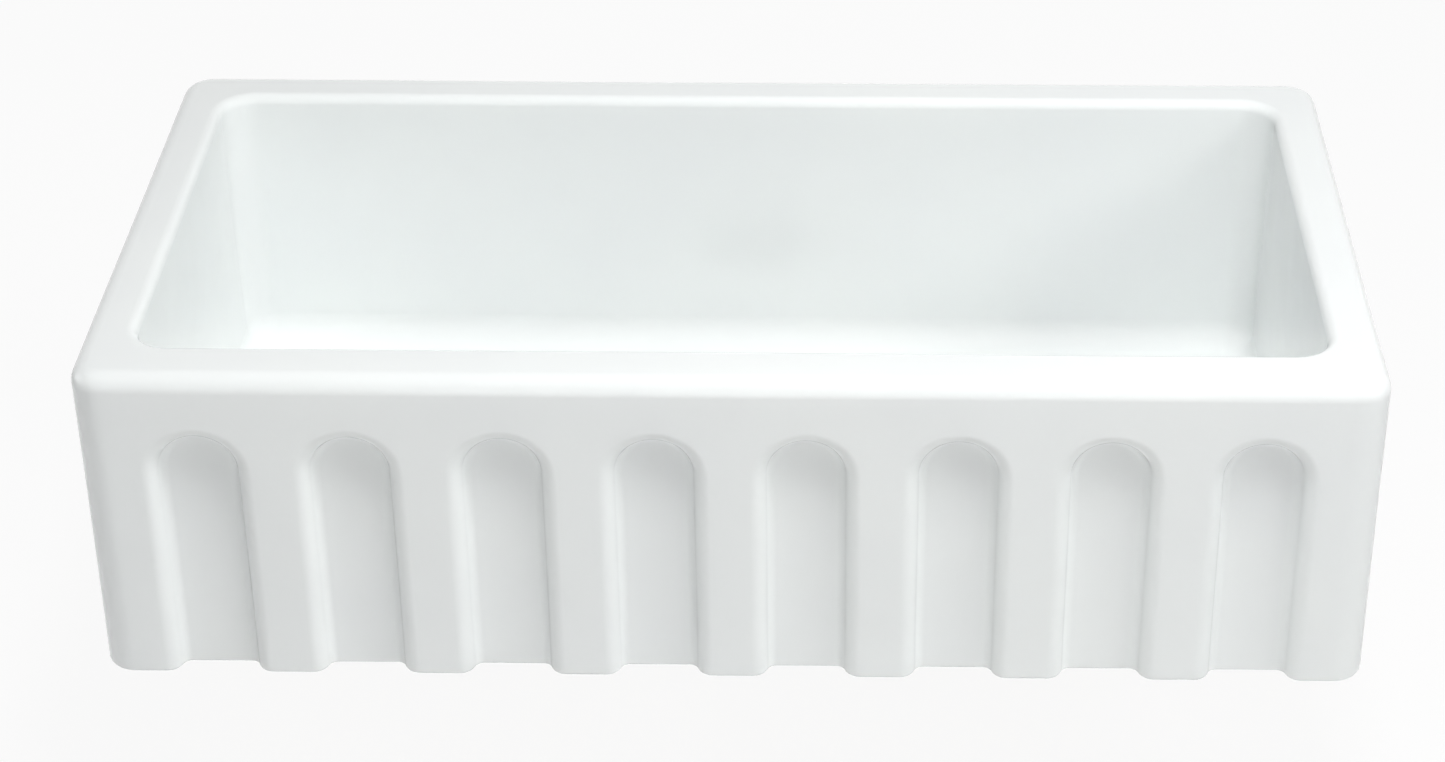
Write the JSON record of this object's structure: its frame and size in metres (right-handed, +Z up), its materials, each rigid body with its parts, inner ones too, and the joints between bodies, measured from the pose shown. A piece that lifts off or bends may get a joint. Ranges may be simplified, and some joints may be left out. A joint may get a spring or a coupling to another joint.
{
  "type": "farmhouse apron front sink",
  "caption": "White fireclay apron front kitchen sink with round-headed flutes down its front, a deep single bowl and a lift-out basket strainer with a push-pull stopper.",
  "frame": {"origin": "where the drain's axis meets the plane that the sink's base rests on", "axes": "+X along the apron to the right as seen from the front, +Y from the apron to the wall behind the sink, +Z up"},
  "size_m": [0.9144, 0.4572, 0.4146],
  "materials": {
    "glaze": "white gloss glaze on fireclay",
    "stainless": "drawn and brushed stainless steel",
    "chrome": "polished chrome plate",
    "brass": "cast, left as tumbled",
    "rubber": "moulded black rubber",
    "foam": "closed-cell foam",
    "soft_washer": "natural polyethylene",
    "fibre": "red-brown vulcanised fibre"
  },
  "bodies": {
    "sink": {"sink_body": "glaze", "flange_seal": "foam", "strainer_cup": "stainless", "outlet_spider": "stainless", "sink_gasket": "rubber", "friction_ring": "fibre", "locknut": "brass", "tail_washer": "soft_washer", "tailpiece": "chrome", "coupling_nut": "chrome"},
    "basket": {"basket_cup": "stainless", "basket_collar": "chrome", "detent_clip": "stainless"},
    "stopper": {"stem": "stainless", "knob": "chrome", "stopper_plate": "stainless", "stopper_seal": "rubber", "seal_washer": "stainless", "lock_washer": "stainless", "stem_nut": "stainless"}
  },
  "joints": [
    {"name": "basket_lift", "type": "slide", "parent": "sink", "child": "basket", "axis": [0, 0, 1], "range_m": [0, 0.26]},
    {"name": "stopper_lift", "type": "slide", "parent": "basket", "child": "stopper", "axis": [0, 0, 1], "range_m": [0, 0.0065]}
  ]
}
